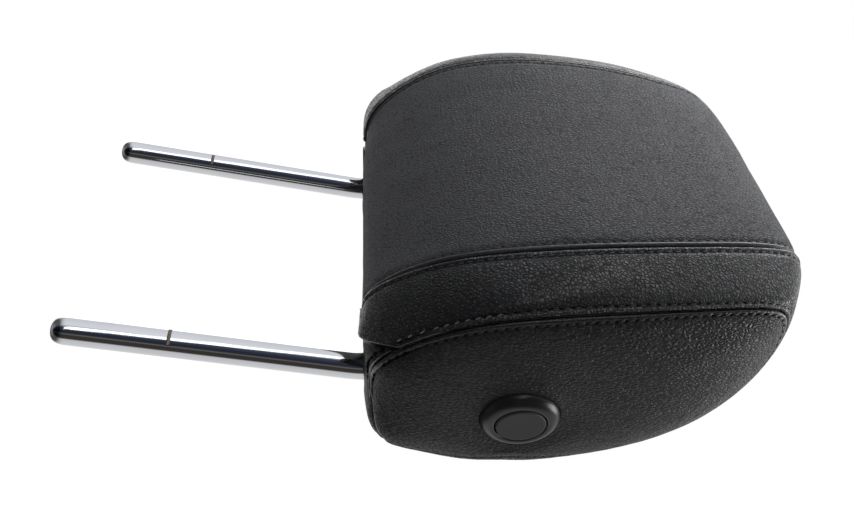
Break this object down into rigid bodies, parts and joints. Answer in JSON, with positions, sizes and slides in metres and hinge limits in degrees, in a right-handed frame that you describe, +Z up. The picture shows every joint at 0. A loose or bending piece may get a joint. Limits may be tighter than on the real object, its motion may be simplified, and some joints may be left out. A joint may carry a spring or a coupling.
{
  "type": "car headrest",
  "caption": "Padded leather car headrest on two bent chrome posts, with a side push button that frees its forward tilt.",
  "frame": {"origin": "midway between the two posts' axes, level with the underside of the head where the posts come out", "axes": "+Z up along the posts' straight lengths, -Y forward to the face that meets the head, +X to the side with the button"},
  "size_m": [0.2311, 0.1322, 0.3119],
  "materials": {
    "chrome": "polished",
    "steel": "bright",
    "core_plastic": "moulded",
    "bush_plastic": "moulded",
    "foam": "open-cell foam",
    "leather_smooth": "fine grain",
    "leather_coarse": "coarse pebble grain",
    "leather_fine": "fine grain",
    "matte_black": "matte",
    "satin_black": "satin",
    "matte_grey": "matte"
  },
  "bodies": {
    "posts": {"post_frame": "chrome", "brake_sleeve": "steel", "sleeve_pin": "steel"},
    "head": {"core_front": "core_plastic", "core_rear": "core_plastic", "core_screw_1": "steel", "core_screw_2": "steel", "core_screw_3": "steel", "core_screw_4": "steel", "bush_left": "bush_plastic", "bush_right": "bush_plastic", "wrap_spring": "steel", "lever_pin": "steel", "foam_front": "foam", "foam_rear": "foam", "cover_centre": "leather_smooth", "cover_rear": "leather_smooth", "cover_band_left": "leather_coarse", "cover_band_right": "leather_coarse", "cover_side_left": "leather_fine", "cover_side_right": "leather_fine", "cover_bottom": "leather_fine", "slot_guide_left": "matte_black", "slot_guide_right": "matte_black", "button_bezel": "satin_black", "rod_guide": "bush_plastic", "return_spring": "steel"},
    "button": {"push_button": "matte_grey", "push_rod": "steel"},
    "lever": {"release_lever": "steel"}
  },
  "joints": [
    {"name": "head_tilt", "type": "hinge", "parent": "posts", "child": "head", "pos_m": [0, -0.024, 0.046], "axis": [1, 0, 0], "range_deg": [0, 15]},
    {"name": "button_push", "type": "slide", "parent": "head", "child": "button", "axis": [-0.991, -0.134, 0], "range_m": [0, 0.004], "stiffness_N_per_m": 800, "springref_m": -0.004, "deforming": ["return_spring"]},
    {"name": "lever_turn", "type": "hinge", "parent": "head", "child": "lever", "pos_m": [0.02, -0.018, 0.059], "axis": [0, 0, -1], "range_deg": [0, 12]}
  ],
  "couplings": [
    {"joint": "lever_turn", "follows": "button_push", "rad_per_m": 51.5}
  ]
}
